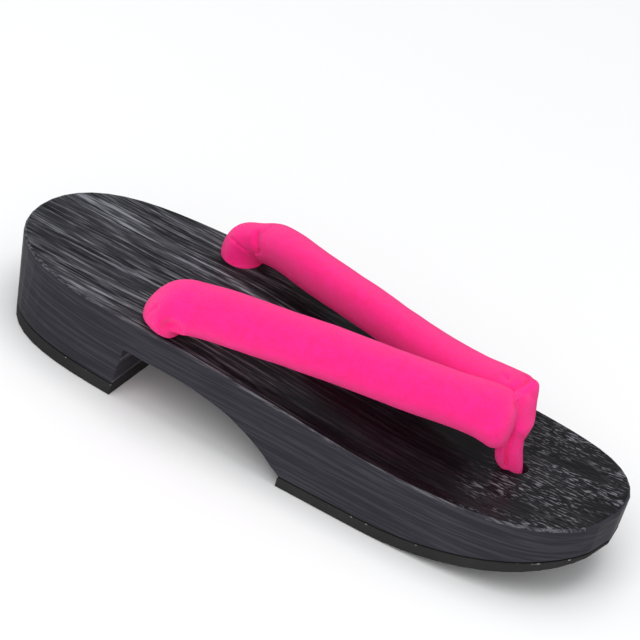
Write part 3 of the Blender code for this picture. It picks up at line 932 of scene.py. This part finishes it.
def puffed(piece, held, most):
    """Swell a closed piece of cloth with its stuffing, with what is held in place, and cap each move."""
    before = [v.co.copy() for v in piece.data.vertices]
    group = piece.vertex_groups.new(name="held")
    for vertex in piece.data.vertices:
        weight = held(vertex.co)
        if weight > 0:
            group.add([vertex.index], weight, "REPLACE")
    only(piece)
    cloth = piece.modifiers.new("Cloth", "CLOTH")
    cloth.settings.use_pressure = True
    cloth.settings.uniform_pressure_force = 4
    cloth.settings.effector_weights.gravity = 0
    cloth.settings.vertex_group_mass = "held"
    cloth.settings.mass = 0.3
    cloth.point_cache.frame_start = 1
    cloth.point_cache.frame_end = PUFF_FRAMES
    for number in range(1, PUFF_FRAMES + 1):
        bpy.context.scene.frame_set(number)
    bpy.ops.object.modifier_apply(modifier=cloth.name)
    bpy.context.scene.frame_set(1)
    for vertex, old in zip(piece.data.vertices, before):
        move = vertex.co - old
        if move.length > most:
            vertex.co = old + move.normalized() * most
    piece.vertex_groups.clear()


def off_line(place, start, stop):
    """Distance from a place to a straight line between two points."""
    way = stop - start
    share = min(max((place - start).dot(way) / way.length_squared, 0), 1)
    return (place - start - way * share).length


def crease(piece, kind):
    """Draw one crease into the cloth, as a soft trough with a low ridge on each side."""
    points = [Vector(point) * MM for point in kind.points]
    middle = sum(points, Vector()) / len(points)
    reach = max((point - middle).length for point in points) + 4 * kind.breadth * MM
    moves = []
    for vertex in piece.data.vertices:
        if (vertex.co - middle).length > reach:
            continue
        distance = min(off_line(vertex.co, a, b) for a, b in zip(points, points[1:]))
        off = distance / (kind.breadth * MM)
        move = 0.25 * math.exp(-((off - 1.8) ** 2)) - math.exp(-2 * off * off)
        moves.append((vertex, vertex.normal * move * kind.depth * MM))
    for vertex, move in moves:
        vertex.co += move


def unevenness(piece, amount):
    """Give stuffed cloth its slight lumps and hollows."""
    moves = []
    for vertex in piece.data.vertices:
        lump = noise.noise(vertex.co * 55) + 0.4 * noise.noise(vertex.co * 150)
        moves.append(vertex.normal * lump * amount)
    for vertex, move in zip(piece.data.vertices, moves):
        vertex.co += move


def padded_arm(sizes, plan):
    """One arm of the strap as a stuffed tube of cloth."""
    run = arm_run(sizes, plan)
    sections = arm_rear(sizes, plan, run[0]) + run
    rings = [[laid(point, plan) for point in ring_of(section, sizes.sides)] for section in sections]
    arm = rolled_tube("arm", closed(rings))
    press_under_loop(arm)
    puffed(arm, lambda place: 1.0 if place.z < HELD_BELOW or place.x > HELD_BEYOND else 0.0, sizes.puff)
    return arm


def finished_cloth(piece, lumps, material):
    """Divide a piece of cloth once, give it its lumps, creases and material, and shade it smooth."""
    modify(piece, "SUBSURF", levels=1, render_levels=1)
    unevenness(piece, lumps)
    for kind in CREASES:
        crease(piece, kind)
    only(piece)
    bpy.ops.object.shade_smooth()
    piece.data.materials.append(material)


def dress_strap(sizes, material):
    """The padded strap: two stuffed arms that meet at the front."""
    strap = joined(padded_arm(sizes, NEAR), padded_arm(sizes, FAR), "padded_strap")
    finished_cloth(strap, 0.3 * MM, material)
    ready(strap, "cloth_strap")


def front_knot(sides):
    """Rings of the loop's knot in the recess, and of its tail up into the front hole."""
    top = wood_top(FRONT_HOLE) - FRONT_KNOT_DEPTH
    height, radius, tail, tail_steps = 7.5 * MM, 8.4 * MM, 6 * MM, 4
    sections = [turned(FRONT_HOLE, 0, top - height * row.depth, radius * row.radius) for row in KNOT]
    for k in range(tail_steps + 1):
        sections.append(turned(FRONT_HOLE, 0, top + tail * k / tail_steps, FRONT_TAIL))
    return [ring_of(section, sides) for section in sections]


def dress_loop(sizes, material):
    """The front loop: a flattened tube of cloth over the join of the arms, and its knot below."""
    rings = [loop_ring(*step, sizes.loop_sides) for step in loop_frames()]
    band = rolled_tube("band", closed(rings))
    knot = rolled_tube("knot", closed(front_knot(sizes.loop_sides)))
    loop = joined(band, knot, "front_loop_cloth")
    finished_cloth(loop, 0.12 * MM, material)
    ready(loop, "front_loop")


def area_light(row):
    """A soft square light that looks at the sandal."""
    light = bpy.data.lights.new(row.name, "AREA")
    light.shape = "SQUARE"
    light.size = row.width
    light.energy = row.power
    lamp = bpy.data.objects.new(row.name, light)
    bpy.context.scene.collection.objects.link(lamp)
    lamp.location = row.place
    lamp.rotation_euler = (Vector(LIGHTS_AIM) - Vector(row.place)).to_track_quat("-Z", "Y").to_euler()


def dress_stage(sizes):
    """Camera, floor and lights."""
    scene = bpy.context.scene
    nothing_selected()
    bpy.ops.mesh.primitive_plane_add(size=8)
    floor = bpy.context.active_object
    floor.name = "floor"
    constants = {"Base Color": (*sizes.floor, 1), "Roughness": 0.9, "Specular IOR Level": 0.1}
    floor.data.materials.append(Paint("floor", constants).material)
    aim = Euler((math.pi / 2 - sizes.elevation, 0, sizes.azimuth)).to_matrix()
    turn = aim @ Matrix.Rotation(sizes.roll, 3, "Z")
    camera = bpy.data.objects.new("camera", bpy.data.cameras.new("camera"))
    scene.collection.objects.link(camera)
    camera.matrix_world = Matrix.Translation(sizes.place) @ turn.to_4x4()
    camera.data.sensor_width = 36
    camera.data.lens = sizes.lens
    camera.data.clip_end = 20
    scene.camera = camera
    world = bpy.data.worlds.new("studio")
    world.use_nodes = True
    room = world.node_tree.nodes["Background"]
    room.inputs["Color"].default_value = (*sizes.room, 1)
    room.inputs["Strength"].default_value = sizes.room_strength
    scene.world = world
    for row in LIGHTS:
        area_light(row)
    scene.view_settings.view_transform = "Standard"


class GETA_OT_wood(bpy.types.Operator):
    """Dress the wooden base in black lacquer"""

    bl_idname = "geta.wood"
    bl_label = "Wooden base"

    def execute(self, context):
        dress_wood(context.scene.geta_wood)
        return {"FINISHED"}


class GETA_OT_treads(bpy.types.Operator):
    """Dress both rubber treads"""

    bl_idname = "geta.treads"
    bl_label = "Rubber treads"

    def execute(self, context):
        sizes = context.scene.geta_treads
        material = rubber(sizes)
        dress_tread(sizes, "heel_tread", "heel_rubber", material)
        dress_tread(sizes, "front_tread", "front_rubber", material)
        return {"FINISHED"}


class GETA_OT_strap(bpy.types.Operator):
    """Sew and stuff the strap and its front loop"""

    bl_idname = "geta.strap"
    bl_label = "Cloth strap and front loop"

    def execute(self, context):
        sizes = context.scene.geta_strap
        material = pink_cloth(sizes)
        dress_strap(sizes, material)
        dress_loop(sizes, material)
        return {"FINISHED"}


class GETA_OT_stage(bpy.types.Operator):
    """Set the camera, the floor and the lights"""

    bl_idname = "geta.stage"
    bl_label = "Stage"

    def execute(self, context):
        dress_stage(context.scene.geta_stage)
        return {"FINISHED"}


class GETA_PT_panel(bpy.types.Panel):
    """Lists the pieces of the sandal"""

    bl_idname = "GETA_PT_panel"
    bl_label = "Geta sandal"
    bl_space_type = "VIEW_3D"
    bl_region_type = "UI"
    bl_category = "Geta"

    def draw(self, context):
        for operator in (GETA_OT_wood, GETA_OT_treads, GETA_OT_strap, GETA_OT_stage):
            self.layout.operator(operator.bl_idname)
        for name in SETTINGS:
            group = getattr(context.scene, name)
            for key in group.__annotations__:
                self.layout.prop(group, key)


SETTINGS = {
    "geta_wood": WoodSettings,
    "geta_treads": TreadSettings,
    "geta_strap": StrapSettings,
    "geta_stage": StageSettings,
}
CLASSES = (*SETTINGS.values(), GETA_OT_wood, GETA_OT_treads, GETA_OT_strap, GETA_OT_stage, GETA_PT_panel)


def register():
    """Add the classes, and their settings to the scene."""
    for kind in CLASSES:
        bpy.utils.register_class(kind)
    for name, kind in SETTINGS.items():
        setattr(bpy.types.Scene, name, PointerProperty(type=kind))


def unregister():
    """Take the settings and the classes out again."""
    for name in SETTINGS:
        delattr(bpy.types.Scene, name)
    for kind in reversed(CLASSES):
        bpy.utils.unregister_class(kind)


def main():
    """Make every piece and the stage."""
    register()
    bpy.ops.geta.wood()
    bpy.ops.geta.treads()
    bpy.ops.geta.strap()
    bpy.ops.geta.stage()


if __name__ == "__main__":
    main()
